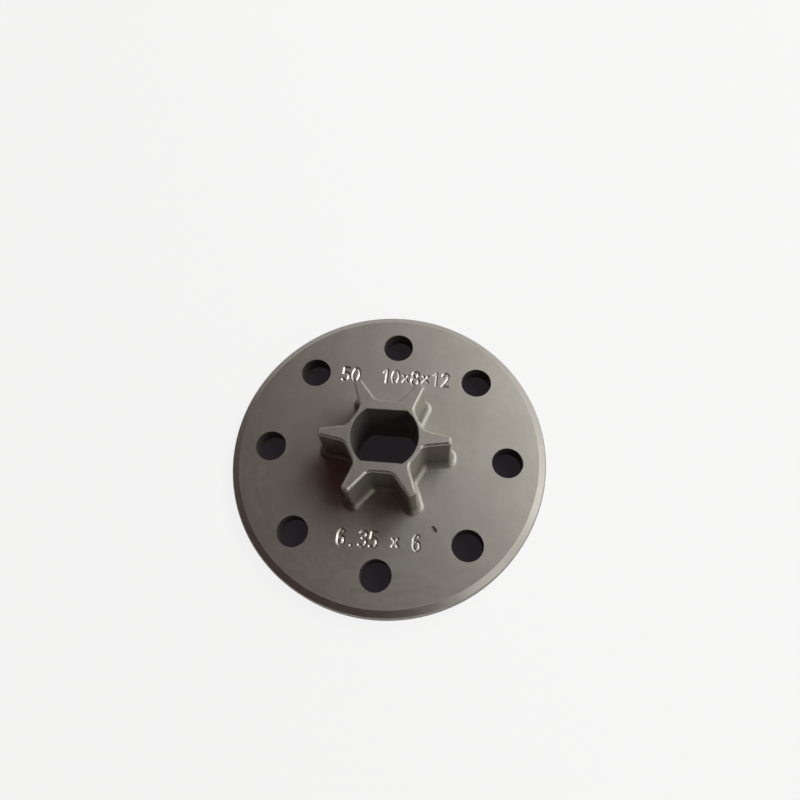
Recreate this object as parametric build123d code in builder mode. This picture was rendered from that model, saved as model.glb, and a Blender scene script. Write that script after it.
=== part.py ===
"""Chain sprocket of a small electric chainsaw: a six-tooth star on a drilled round flange.

It is one piece of steel. The back of the flange lies on Z = 0 and the spindle axis is Z. The star stands on
the front of the flange, one tooth points along +X, and the flats of the spindle bore face +Y and -Y.
"""

import os
from math import radians, sqrt, tan

from build123d import *

# Flange, in millimetres
flange_diameter = 50.0
flange_thickness = 3.0
rim_slope_width = 1.2
rim_slope_depth = 0.65
rim_edge_break = 0.2
back_edge_break = 0.3

# Ring of through holes in the flange, with a land of flat steel between each hole and the rim slope
hole_count = 8
hole_diameter = 4.8
hole_rim_land = 2.5
hole_edge_break = 0.05

# Double-D spindle bore, a round hole with two flats
bore_diameter = 10.1
bore_across_flats = 8.1
bore_edge_break = 0.1

# Toothed star, whose gullet floors leave a thin wall around the bore
tooth_count = 6
tooth_height = 9.0
tip_diameter = 19.8
tip_land = 1.24
tip_corner_radius = 0.4
flank_half_angle = 9.65
gullet_wall = 0.6
gullet_corner_radius = 1.5
tooth_edge_break = 0.25
base_fillet_radius = 1.1

# Sizes that follow from the ones above
flange_radius = flange_diameter / 2
flat_face_radius = flange_radius - rim_slope_width
hole_circle_radius = flat_face_radius - hole_rim_land - hole_diameter / 2
total_height = flange_thickness + tooth_height
gullet_floor_radius = bore_diameter / 2 + gullet_wall
tip_radius = tip_diameter / 2
tip_half_land = tip_land / 2
tip_corner_x = sqrt(tip_radius**2 - tip_half_land**2)
axis_half_width = tip_half_land + tip_corner_x * tan(radians(flank_half_angle))


# One tooth as a wedge from the axis out to its tip, which lies on the tip circle
with BuildSketch() as tooth:
    with BuildLine():
        Polyline(
            (tip_corner_x, tip_half_land),
            (0, axis_half_width),
            (0, -axis_half_width),
            (tip_corner_x, -tip_half_land),
        )
        ThreePointArc((tip_corner_x, -tip_half_land), (tip_radius, 0), (tip_corner_x, tip_half_land))
    make_face()


# The star: teeth on the corners of a polygon whose sides are the gullet floors
with BuildSketch() as star:
    RegularPolygon(gullet_floor_radius, tooth_count, major_radius=False)
    with PolarLocations(0, tooth_count):
        add(tooth.sketch)
    fillet(star.vertices().group_by(SortBy.DISTANCE)[0], gullet_corner_radius)
    fillet(star.vertices().group_by(SortBy.DISTANCE)[-1], tip_corner_radius)


with BuildPart() as sprocket:
    # Turned flange, a flat disc whose front edge slopes down to the broken edge of the rim
    with BuildSketch(Plane.XZ) as flange_section:
        with BuildLine():
            Polyline(
                (0, 0),
                (flange_radius - back_edge_break, 0),
                (flange_radius, back_edge_break),
                (flange_radius, flange_thickness - rim_slope_depth),
                (flat_face_radius, flange_thickness),
                (0, flange_thickness),
                close=True,
            )
        make_face()
        rim_corner = flange_section.vertices().group_by(Axis.X)[-1].sort_by(Axis.Y)[-1]
        chamfer(rim_corner, rim_edge_break)
    revolve(axis=Axis.Z)

    # Ring of through holes, with their edges broken on both faces
    with PolarLocations(hole_circle_radius, hole_count):
        Hole(hole_diameter / 2)
    chamfer(sprocket.edges(Select.LAST).filter_by(GeomType.CIRCLE), hole_edge_break)

    # Star on the front of the flange, with its foot filleted into the flange and its top edge broken
    with BuildSketch(Plane.XY.offset(flange_thickness)):
        add(star.sketch)
    extrude(amount=tooth_height)
    star_edges = sprocket.edges(Select.LAST).group_by(Axis.Z)
    fillet(star_edges[0], base_fillet_radius)
    chamfer(star_edges[-1], tooth_edge_break)

    # Spindle bore through flange and star, with its edges broken at both ends
    with BuildSketch():
        Circle(bore_diameter / 2)
        Rectangle(bore_diameter, bore_across_flats, mode=Mode.INTERSECT)
    extrude(amount=total_height, mode=Mode.SUBTRACT)
    bore_edges = sprocket.edges(Select.LAST).group_by(Axis.Z)
    chamfer(bore_edges[0] + bore_edges[-1], bore_edge_break)


sprocket.part.label = "sprocket"
os.makedirs("parts", exist_ok=True)
export_step(sprocket.part, "parts/sprocket.step")
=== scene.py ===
import random
from math import cos, pi, radians, sin

import bmesh
import bpy
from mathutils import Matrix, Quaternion, Vector


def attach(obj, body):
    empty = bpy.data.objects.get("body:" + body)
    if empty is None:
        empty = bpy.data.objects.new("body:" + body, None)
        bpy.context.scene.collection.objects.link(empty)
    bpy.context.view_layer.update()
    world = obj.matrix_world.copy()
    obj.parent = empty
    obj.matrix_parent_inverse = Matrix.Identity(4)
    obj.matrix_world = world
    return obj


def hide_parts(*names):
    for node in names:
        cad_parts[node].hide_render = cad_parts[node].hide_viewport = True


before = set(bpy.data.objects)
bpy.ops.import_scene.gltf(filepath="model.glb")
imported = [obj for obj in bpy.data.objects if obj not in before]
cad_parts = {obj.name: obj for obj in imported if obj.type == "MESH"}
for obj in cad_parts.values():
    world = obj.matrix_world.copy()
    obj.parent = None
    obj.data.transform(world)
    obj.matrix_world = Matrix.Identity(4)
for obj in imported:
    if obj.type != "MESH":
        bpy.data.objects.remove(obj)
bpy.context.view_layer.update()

# Camera
# The photograph was taken from close above, a little in front of the part and to its right, with the
# camera turned slightly about its own view.
mm = 0.001
camera_place = Vector((9.37, -32.24, 104.87)) * mm
camera_aim = Vector((1.105, 9.44, 3.0)) * mm
camera_roll = radians(-6.5)
camera_data = bpy.data.cameras.new("photo_camera")
camera_data.sensor_width = 36
camera_data.lens = 30.3
camera_data.clip_start = 1 * mm
camera = bpy.data.objects.new("photo_camera", camera_data)
bpy.context.scene.collection.objects.link(camera)
camera.location = camera_place
camera.rotation_mode = "QUATERNION"
view_turn = (camera_aim - camera_place).to_track_quat("-Z", "Y")
camera.rotation_quaternion = view_turn @ Quaternion((0, 0, 1), camera_roll)
bpy.context.scene.camera = camera


# Steel of the sprocket
# One piece of warm grey steel, with a turned flange and a pressed star, tumbled until it is satin all over.
# Handling leaves it faintly cloudy and its edges rubbed bright; painted shade darkens its bore, holes,
# upright star walls and star foot.
class Wire:
    """An output socket of a node tree. Arithmetic on it adds Math nodes, and node() adds any other node."""

    def __init__(self, tree, socket=None):
        self.tree = tree
        self.socket = socket

    def node(self, kind, settings=None, sockets=None, output=0):
        made = self.tree.nodes.new(kind)
        for name, value in (settings or {}).items():
            if name == "stops":
                for stop, (position, colour) in zip(made.color_ramp.elements, value):
                    stop.position = position
                    stop.color = colour
            else:
                setattr(made, name, value)
        for key, value in (sockets or {}).items():
            if isinstance(key, int):
                socket = made.inputs[key]
            else:
                socket = next(s for s in made.inputs if s.enabled and key in (s.name, s.identifier))
            for wire in value if isinstance(value, list) else [value]:
                if isinstance(wire, Wire):
                    self.tree.links.new(wire.socket, socket)
                else:
                    socket.default_value = wire
        if not made.outputs:
            return None
        return Wire(self.tree, made.outputs[output])

    def math(self, operation, first, second=0.0, third=0.0):
        return self.node("ShaderNodeMath", {"operation": operation}, {0: first, 1: second, 2: third})

    def __add__(self, other):
        return self.math("ADD", self, other)

    def __radd__(self, other):
        return self.math("ADD", other, self)

    def __sub__(self, other):
        return self.math("SUBTRACT", self, other)

    def __rsub__(self, other):
        return self.math("SUBTRACT", other, self)

    def __mul__(self, other):
        return self.math("MULTIPLY", self, other)

    def __rmul__(self, other):
        return self.math("MULTIPLY", other, self)

    def __truediv__(self, other):
        return self.math("DIVIDE", self, other)

    def __rtruediv__(self, other):
        return self.math("DIVIDE", other, self)

    def __pow__(self, other):
        return self.math("POWER", self, other)

    def __abs__(self):
        return self.math("ABSOLUTE", self)

    def rise(self, low, high):
        """0 below low and 1 above high, with a smooth rise between; high below low turns it round."""
        return self.node(
            "ShaderNodeMapRange",
            {"interpolation_type": "SMOOTHSTEP"},
            {"Value": self, "From Min": low, "From Max": high, "To Min": 0.0, "To Max": 1.0},
        )

    def part(self, axis):
        """One number of a vector, by its axis letter."""
        return self.node("ShaderNodeSeparateXYZ", None, {0: self}, "XYZ".index(axis))


def mix_colours(factor, first, second, blend="MIX"):
    """Blend two colours by a factor, each a wire or a colour written out."""
    return factor.node(
        "ShaderNodeMix",
        {"data_type": "RGBA", "blend_type": blend},
        {"Factor_Float": factor, "A_Color": first, "B_Color": second},
        2,
    )


def noise(place, scale, detail=3.0, roughness=0.55):
    """Soft three-dimensional noise from 0 to 1, with its scale in waves per millimetre."""
    return place.node(
        "ShaderNodeTexNoise",
        None,
        {"Vector": place, "Scale": scale, "Detail": detail, "Roughness": roughness},
    )


steel_light = (0.512, 0.500, 0.455, 1)
steel_dull = (0.464, 0.451, 0.406, 1)
steel_rubbed = (0.690, 0.675, 0.630, 1)
# Darker copy of the steel, used as painted shade on the star's upright walls and in the corner at its foot
steel_painted_shade = (0.235, 0.225, 0.190, 1)
# Near-black, used as painted shade in the bore and bolt holes and as the dark stain in the nick
hollow_shade_and_nick_stain = (0.060, 0.050, 0.043, 1)
bore_radius = 5.05
hole_count = 8
hole_radius = 2.4
hole_ring_radius = 18.9
face_height = 3.0
star_top = 12.0
flat_face_radius = 23.8
star_reach = 11.4
row_inner_radius = 11.0
row_outer_radius = 18.4
nick_place = (8.2, -11.3)
nick_reach = 0.9

steel = bpy.data.materials.new("satin_steel")
steel.use_nodes = True
steel.node_tree.nodes.clear()
start = Wire(steel.node_tree)

# Places in millimetres, the distance from the spindle axis, and how far a face looks up
object_place = start.node("ShaderNodeTexCoord", None, None, 3)
place = start.node("ShaderNodeVectorMath", {"operation": "SCALE"}, {0: object_place, "Scale": 1000.0})
across = place.part("X")
along = place.part("Y")
height = place.part("Z")
spindle_distance = (across * across + along * along) ** 0.5
facing_up = abs(start.node("ShaderNodeNewGeometry", None, None, 1).part("Z"))

# Where the surface differs: turned faces, rubbed edges, struck grooves, and the star's upright walls and
# foot, which take painted shade
turned_face = facing_up.rise(0.9, 0.98) * spindle_distance.rise(10.5, 12.0)
upright = facing_up.rise(0.4, 0.2)
sloping = facing_up.rise(0.97, 0.9)
inside_bore = sloping * spindle_distance.rise(bore_radius + 0.14, bore_radius + 0.10)
hole_turn = start.math("WRAP", start.math("ARCTAN2", along, across), pi / hole_count, -pi / hole_count)
hole_reach = 2 * hole_ring_radius * spindle_distance * start.math("COSINE", hole_turn)
hole_distance = (spindle_distance * spindle_distance + hole_ring_radius**2 - hole_reach) ** 0.5
hole_wall = sloping * hole_distance.rise(hole_radius + 0.15, hole_radius + 0.08)
outside_bore = spindle_distance.rise(bore_radius + 0.12, bore_radius + 0.18)
star_wall = upright * outside_bore * spindle_distance.rise(star_reach + 0.1, star_reach - 0.4)
near_foot = height.rise(face_height + 1.0, face_height + 0.4) * facing_up.rise(0.995, 0.95)
star_foot = near_foot * outside_bore * spindle_distance.rise(star_reach + 0.8, star_reach)
near_top = height.rise(star_top - 0.26, star_top - 0.2)
star_edge = near_top * sloping * outside_bore
rim_edge = spindle_distance.rise(flat_face_radius - 0.05, flat_face_radius + 0.05)
past_star = spindle_distance.rise(row_inner_radius, row_inner_radius + 0.4)
row_reach = past_star * spindle_distance.rise(row_outer_radius, row_outer_radius - 0.4)
sunk = height.rise(face_height - 0.01, face_height - 0.04) * height.rise(2.5, 2.6)
nick_distance = ((across - nick_place[0]) ** 2 + (along - nick_place[1]) ** 2) ** 0.5
nick_dirt = sunk * nick_distance.rise(nick_reach, nick_reach - 0.2)
off_nick = nick_distance.rise(nick_reach, nick_reach + 0.1)
struck = sunk * sloping * row_reach * off_nick * (1 - hole_wall)
rubbed = start.math("MAXIMUM", start.math("MAXIMUM", star_edge, struck), rim_edge * 0.45)
clouds = noise(place, 0.22, 4.0)
blotches = noise(place, 1.1, 3.0)
grain = noise(place, 7.0, 2.0)

# Fine marks that the press die draws down every upright wall
drawn_place = start.node("ShaderNodeCombineXYZ", None, {"X": across, "Y": along, "Z": height * 0.04})
draw_marks = noise(drawn_place, 3.2, 3.0, 0.65)
drawn = upright * (draw_marks - 0.5)

# Irregular turning lines that run round the spindle axis
turning_lines = start.node(
    "ShaderNodeTexNoise",
    {"noise_dimensions": "1D"},
    {"W": spindle_distance, "Scale": 2.6, "Detail": 3.0, "Roughness": 0.7},
)
turning = turned_face * (turning_lines - 0.5)

mottle = clouds * 0.55 + blotches * 0.3 + grain * 0.15
colour = mix_colours(mottle.rise(0.36, 0.64), steel_dull, steel_light)
colour = mix_colours(rubbed * 0.75, colour, steel_rubbed)
# Painted shade: the star's upright walls and the fillet at its foot are darkened, varied by the die's draw
# marks
star_wall_and_foot_shade = start.math("MAXIMUM", star_wall * (0.45 + drawn * 0.5), star_foot * 0.65)
colour = mix_colours(star_wall_and_foot_shade, colour, steel_painted_shade)
# Painted shade darkens the bore and bolt-hole walls; the nick gets a dark stain
walls = start.math("MAXIMUM", inside_bore * 0.5, hole_wall * 0.88)
hollow_shade_and_nick_stain_mask = start.math("MAXIMUM", walls, nick_dirt * 0.8)
colour = mix_colours(hollow_shade_and_nick_stain_mask, colour, hollow_shade_and_nick_stain)
satin_roughness = 0.49
uneven = satin_roughness + (blotches - 0.5) * 0.08 + (grain - 0.5) * 0.08 + turning * 0.1
gloss_loss = uneven + drawn * 0.3 - rubbed * 0.12 - star_edge * 0.1 + hollow_shade_and_nick_stain_mask * 0.1
relief = grain * 0.6 + turning * 1.2 + blotches * 0.4 + drawn * 2.0
surface = start.node("ShaderNodeBump", None, {"Strength": 0.12, "Distance": 0.00004, "Height": relief})
steel_shader = start.node(
    "ShaderNodeBsdfPrincipled",
    None,
    {"Base Color": colour, "Metallic": 1 - hollow_shade_and_nick_stain_mask * 0.6, "Roughness": gloss_loss, "Normal": surface},
)
start.node("ShaderNodeOutputMaterial", None, {"Surface": steel_shader})


# Stamped numbers and nick
# Sizes are struck into the flange with hand figure punches: the flange's diameter and the bore's size and
# length behind the star, the chain's pitch and the tooth count in front of it. One knock has left a nick
# beside the front row.
figure_height = 2.35
figure_width = 0.84
figure_advance = 1.65
punch_spread = 1.6
sliver_length = 0.002 * mm
figure_strokes = {
    "0": [("loop", (0.24, 1.0), (0.0, 0.72), (0.0, 0.28), (0.24, 0.0), (0.48, 0.28), (0.48, 0.72))],
    "1": [("line", (0.06, 0.78), (0.3, 1.0)), ("line", (0.3, 1.0), (0.3, 0.0))],
    "2": [
        ("bend", (0.0, 0.76), (0.07, 0.93), (0.24, 1.0), (0.42, 0.92), (0.47, 0.72), (0.36, 0.46),
         (0.0, 0.0)),
        ("line", (0.0, 0.0), (0.48, 0.0)),
    ],
    "3": [
        ("bend", (0.0, 0.88), (0.22, 1.0), (0.44, 0.88), (0.43, 0.65), (0.2, 0.54)),
        ("bend", (0.2, 0.54), (0.46, 0.42), (0.47, 0.15), (0.23, 0.0), (0.0, 0.12)),
    ],
    "5": [
        ("line", (0.45, 1.0), (0.07, 1.0)),
        ("line", (0.07, 1.0), (0.03, 0.56)),
        ("bend", (0.03, 0.56), (0.25, 0.63), (0.47, 0.46), (0.46, 0.17), (0.23, 0.0), (0.0, 0.1)),
    ],
    "6": [
        ("bend", (0.43, 0.9), (0.25, 1.0), (0.06, 0.84), (0.0, 0.45), (0.05, 0.14), (0.24, 0.0)),
        ("bend", (0.24, 0.0), (0.43, 0.12), (0.47, 0.3), (0.41, 0.49), (0.25, 0.57), (0.04, 0.44)),
    ],
    "8": [
        ("loop", (0.24, 0.54), (0.05, 0.66), (0.05, 0.89), (0.24, 1.0), (0.43, 0.89), (0.43, 0.66)),
        ("loop", (0.24, 0.54), (0.0, 0.4), (0.0, 0.13), (0.24, 0.0), (0.48, 0.13), (0.48, 0.4)),
    ],
    ".": [("line", (0.22, 0.0), (0.26, 0.05))],
    "x": [("line", (0.03, 0.18), (0.45, 0.68)), ("line", (0.03, 0.68), (0.45, 0.18))],
}
stroke_curve = bpy.data.curves.new("stamp_strokes", "CURVE")
stroke_curve.dimensions = "3D"
stroke_curve.resolution_u = 5
stroke_curve.twist_mode = "Z_UP"
punch_hand = random.Random(4)


def strike(figures, row_centre):
    """Set a row of figures out along the row's centre line, each struck a little out of place by hand."""
    row_start = -0.5 * figure_advance * len(figures)
    for count, figure in enumerate(figures):
        left = row_start + figure_advance * (count + 0.2) + punch_hand.uniform(-0.05, 0.05)
        base = row_centre - 0.5 * figure_height + punch_hand.uniform(-0.06, 0.06)
        lean = punch_hand.uniform(-0.03, 0.05)
        depth = punch_hand.uniform(-0.03, 0.02)
        for kind, *points in figure_strokes.get(figure, []):
            spline = stroke_curve.splines.new("BEZIER")
            spline.bezier_points.add(len(points) - 1)
            spline.use_cyclic_u = kind == "loop"
            handle = "VECTOR" if kind == "line" else "AUTO"
            for point, (right, up) in zip(spline.bezier_points, points):
                x = left + (right * figure_width + lean * up) * figure_height
                y = base + up * figure_height
                point.co = Vector((x, y, face_height + depth)) * mm
                point.handle_left_type = handle
                point.handle_right_type = handle


strike("50  10x8x12", 13.5)
strike("6.35 x 6", -13.6)
strokes = bpy.data.objects.new("stamp_strokes", stroke_curve)
bpy.context.scene.collection.objects.link(strokes)

# The tree sweeps a V-shaped punch along every stroke, points its ends, and cuts the grooves from the steel
stamping = bpy.data.node_groups.new("stamped_numbers", "GeometryNodeTree")
stamp_inputs = {}
for name, kind in (
    ("Blank", "NodeSocketGeometry"),
    ("Strokes", "NodeSocketObject"),
    ("Groove radius", "NodeSocketFloat"),
    ("Groove rise", "NodeSocketFloat"),
    ("Nick place", "NodeSocketVector"),
    ("Nick turn", "NodeSocketVector"),
    ("Nick size", "NodeSocketVector"),
    ("Sharp angle", "NodeSocketFloat"),
    ("Steel", "NodeSocketMaterial"),
):
    stamp_inputs[name] = stamping.interface.new_socket(name, in_out="INPUT", socket_type=kind)
stamping.interface.new_socket("Stamped", in_out="OUTPUT", socket_type="NodeSocketGeometry")
tree = Wire(stamping)
inputs = stamping.nodes.new("NodeGroupInput")
given = {name: Wire(stamping, inputs.outputs[name]) for name in stamp_inputs}
path = tree.node("GeometryNodeObjectInfo", None, {"Object": given["Strokes"]}, 4)
rise_vector = tree.node("ShaderNodeCombineXYZ", None, {"Z": given["Groove rise"]})
path = tree.node("GeometryNodeTransform", None, {"Geometry": path, "Translation": rise_vector})
punch = tree.node(
    "GeometryNodeCurvePrimitiveQuadrilateral",
    {"mode": "KITE"},
    {
        "Width": given["Groove radius"] * 2 * punch_spread,
        "Bottom Height": given["Groove radius"],
        "Top Height": given["Groove radius"],
    },
)
grooves = tree.node(
    "GeometryNodeCurveToMesh", None, {"Curve": path, "Profile Curve": punch, "Fill Caps": True}
)
point = tree.node(
    "GeometryNodeMeshCone",
    None,
    {
        "Vertices": 12,
        "Radius Top": given["Groove radius"] * punch_spread,
        "Radius Bottom": 0.0,
        "Depth": given["Groove radius"],
    },
)
point_drop = tree.node("ShaderNodeCombineXYZ", None, {"Z": 0 - given["Groove radius"]})
point = tree.node("GeometryNodeTransform", None, {"Geometry": point, "Translation": point_drop})
stroke_ends = tree.node("GeometryNodeCurveEndpointSelection")
points = tree.node(
    "GeometryNodeInstanceOnPoints", None, {"Points": path, "Selection": stroke_ends, "Instance": point}
)
points = tree.node("GeometryNodeRealizeInstances", None, {"Geometry": points})
knock = tree.node("GeometryNodeMeshIcoSphere", None, {"Radius": 1.0, "Subdivisions": 3})
knock = tree.node(
    "GeometryNodeTransform",
    None,
    {
        "Geometry": knock,
        "Translation": given["Nick place"],
        "Rotation": given["Nick turn"],
        "Scale": given["Nick size"],
    },
)
stamped = tree.node(
    "GeometryNodeMeshBoolean",
    {"operation": "DIFFERENCE", "solver": "EXACT"},
    {"Mesh 1": given["Blank"], "Mesh 2": [grooves, points, knock], "Self Intersection": True},
)
stamped = tree.node("GeometryNodeMergeByDistance", None, {"Geometry": stamped, "Distance": sliver_length})
bend = tree.node("GeometryNodeInputMeshEdgeAngle")
sharp = tree.node(
    "FunctionNodeCompare", {"operation": "GREATER_THAN"}, {"A": bend, "B": given["Sharp angle"]}
)
stamped = tree.node(
    "GeometryNodeSetShadeSmooth", {"domain": "FACE"}, {"Geometry": stamped, "Shade Smooth": True}
)
stamped = tree.node(
    "GeometryNodeSetShadeSmooth",
    {"domain": "EDGE"},
    {"Geometry": stamped, "Selection": sharp, "Shade Smooth": False},
)
stamped = tree.node("GeometryNodeRealizeInstances", None, {"Geometry": stamped})
stamped = tree.node("GeometryNodeSetMaterial", None, {"Geometry": stamped, "Material": given["Steel"]})
tree.node("NodeGroupOutput", None, {"Stamped": stamped})

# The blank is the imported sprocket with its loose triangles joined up, and with the top edge of its star
# stepped, as the press leaves it: a narrow flat land outside a slope
cad_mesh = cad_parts["sprocket"].data
blank = bpy.data.meshes.new("stamped_sprocket")
blank.from_pydata([v.co for v in cad_mesh.vertices], [], [list(p.vertices) for p in cad_mesh.polygons])
welded = bmesh.new()
welded.from_mesh(blank)
bmesh.ops.remove_doubles(welded, verts=welded.verts, dist=0.001 * mm)


def breaks_edge(face):
    """Whether a face is in the slope round the star's top edge, which looks up and outwards alike."""
    centre = face.calc_center_median()
    return 0.6 < face.normal.z < 0.8 and centre.z > edge_foot and face.normal.xy.dot(centre.xy) > 0


def outwards(corner):
    """The level direction that points out of the star at a corner of its edge slope."""
    total = Vector((0, 0))
    for face in corner.link_faces:
        if breaks_edge(face):
            total += face.normal.xy
    return total.normalized().to_3d()


edge_break = 0.25 * mm
edge_foot = star_top * mm - edge_break
land_width = 0.16 * mm
slope_width = 0.21 * mm
land_tilt = 0.02 * mm
welded.normal_update()
slope = [face for face in welded.faces if breaks_edge(face)]
slope_parts = set(slope)
for face in slope:
    slope_parts.update(face.edges, face.verts)
bmesh.ops.bisect_plane(
    welded, geom=list(slope_parts), plane_co=(0, 0, edge_foot + edge_break / 2), plane_no=(0, 0, 1)
)
welded.normal_update()
corners = {corner for face in welded.faces if breaks_edge(face) for corner in face.verts}
directions = {corner: outwards(corner) for corner in corners}
for corner, direction in directions.items():
    rise = corner.co.z - edge_foot
    if rise > 0.75 * edge_break:
        corner.co -= direction * (land_width + slope_width - edge_break)
    elif rise > 0.25 * edge_break:
        corner.co -= direction * (land_width - edge_break / 2)
        corner.co.z = edge_foot + land_tilt
welded.to_mesh(blank)
welded.free()
sprocket = bpy.data.objects.new("stamped_sprocket", blank)
bpy.context.scene.collection.objects.link(sprocket)
stamp_modifier = sprocket.modifiers.new("stamped_numbers", "NODES")
stamp_modifier.node_group = stamping
for name, value in (
    ("Strokes", strokes),
    ("Groove radius", 0.24 * mm),
    ("Groove rise", 0.08 * mm),
    ("Nick place", Vector((*nick_place, 3.06)) * mm),
    ("Nick turn", Vector((0.0, 0.0, radians(-52)))),
    ("Nick size", Vector((0.62, 0.32, 0.30)) * mm),
    ("Sharp angle", radians(28)),
    ("Steel", steel),
):
    stamp_modifier[stamp_inputs[name].identifier] = value
level_faces = sprocket.modifiers.new("level_faces", "WEIGHTED_NORMAL")
level_faces.keep_sharp = True
level_faces.weight = 100
bpy.context.view_layer.update()
graph = bpy.context.evaluated_depsgraph_get()
finished = bpy.data.meshes.new_from_object(
    sprocket.evaluated_get(graph), preserve_all_data_layers=True, depsgraph=graph
)
sprocket.modifiers.clear()
sprocket.data = finished
bpy.data.objects.remove(strokes)
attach(sprocket, "root")
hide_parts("sprocket")


# Floor
# A plain pale table top, with a small dark, faintly glowing disc hidden under the flange as painted shade for
# the holes and bore to look into.
def round_sheet(name, radius, level, sides):
    """A flat round sheet at one level, with its centre on the spindle axis."""
    shape = bmesh.new()
    bmesh.ops.create_circle(shape, cap_ends=True, segments=sides, radius=radius)
    bmesh.ops.translate(shape, verts=shape.verts, vec=(0, 0, level))
    sheet_mesh = bpy.data.meshes.new(name)
    shape.to_mesh(sheet_mesh)
    shape.free()
    sheet = bpy.data.objects.new(name, sheet_mesh)
    bpy.context.scene.collection.objects.link(sheet)
    return sheet


def seen_white(start, mirrored_share):
    """How white the surroundings look: wholly to the camera, and by a share to metal and glass."""
    ray = start.node("ShaderNodeLightPath").socket.node.outputs
    mirrored = Wire(start.tree, ray["Is Glossy Ray"]) + Wire(start.tree, ray["Is Transmission Ray"])
    return start.math("MAXIMUM", Wire(start.tree, ray["Is Camera Ray"]), mirrored * mirrored_share)


mirrored_white = 0.08
floor = round_sheet("floor", 3.0, -0.05 * mm, 96)
table = bpy.data.materials.new("pale_table")
table.use_nodes = True
table.node_tree.nodes.clear()
start = Wire(table.node_tree)
matt = start.node("ShaderNodeBsdfDiffuse", None, {"Color": (0.72, 0.72, 0.71, 1)})
white = start.node("ShaderNodeEmission", None, {"Color": (1, 1, 1, 1), "Strength": 1.0})
white_share = seen_white(start, mirrored_white) * 0.86
pale = start.node("ShaderNodeMixShader", None, {0: white_share, 1: matt, 2: white})
start.node("ShaderNodeOutputMaterial", None, {"Surface": pale})
floor.data.materials.append(table)

# Painted shade: a dark disc under the flange, whose faint glow stands in for the dim light seen down the
# holes
felt_round = round_sheet("felt_round", 22 * mm, -0.02 * mm, 64)
hole_shade_material = bpy.data.materials.new("painted_hole_shade")
hole_shade_material.use_nodes = True
hole_shade_sockets = hole_shade_material.node_tree.nodes["Principled BSDF"].inputs
hole_shade_sockets["Base Color"].default_value = (0.012, 0.010, 0.012, 1)
hole_shade_sockets["Emission Color"].default_value = (0.015, 0.012, 0.014, 1)
hole_shade_sockets["Emission Strength"].default_value = 1.0
hole_shade_sockets["Roughness"].default_value = 0.9
hole_shade_sockets["Specular IOR Level"].default_value = 0.1
felt_round.data.materials.append(hole_shade_material)


# Light
# A soft window-like lamp to the right, pale cards and walls low beside and behind the part, and a dim warm
# room around them that looks white to the camera.
def soft_lamp(name, azimuth, elevation, width, tall, power, colour):
    """A flat area lamp, half a metre off, that looks at the part from one direction."""
    lamp_data = bpy.data.lights.new(name, "AREA")
    lamp_data.shape = "RECTANGLE"
    lamp_data.size = width
    lamp_data.size_y = tall
    lamp_data.energy = power
    lamp_data.color = colour
    lamp = bpy.data.objects.new(name, lamp_data)
    bpy.context.scene.collection.objects.link(lamp)
    level = cos(radians(elevation))
    turn = radians(azimuth)
    direction = Vector((cos(turn) * level, sin(turn) * level, sin(radians(elevation))))
    lamp.location = direction * lamp_distance
    lamp.rotation_mode = "QUATERNION"
    lamp.rotation_quaternion = direction.to_track_quat("Z", "Y")
    return lamp


lamp_distance = 0.45
soft_lamp("window", 30, 47, 0.46, 0.2, 1.40, (0.995, 1.0, 0.985))
soft_lamp("side_wall", 320, 26, 0.18, 0.2, 0.22, (1.0, 0.985, 0.95))
soft_lamp("low_card", 16, 5, 0.52, 0.062, 0.175, (1.0, 0.99, 0.97))
soft_lamp("back_card", 93, 7, 1.15, 0.12, 0.36, (1.0, 0.99, 0.96))
soft_lamp("back_wall", 90, 45, 0.2, 0.2, 0.08, (1.0, 0.97, 0.93))

room = bpy.data.worlds.new("room")
bpy.context.scene.world = room
room.use_nodes = True
room.node_tree.nodes.clear()
start = Wire(room.node_tree)
skyward = start.node("ShaderNodeTexCoord", None, None, 0).part("Z")
horizon = skyward.rise(0.42, 0.06)
pale_share = seen_white(start, horizon * mirrored_white)
room_colour = mix_colours(pale_share, (0.039, 0.017, 0.017, 1), (0.94, 0.94, 0.94, 1))
background = start.node("ShaderNodeBackground", None, {"Color": room_colour, "Strength": 1.0})
start.node("ShaderNodeOutputWorld", None, {"Surface": background})

bpy.context.scene.view_settings.view_transform = "Standard"
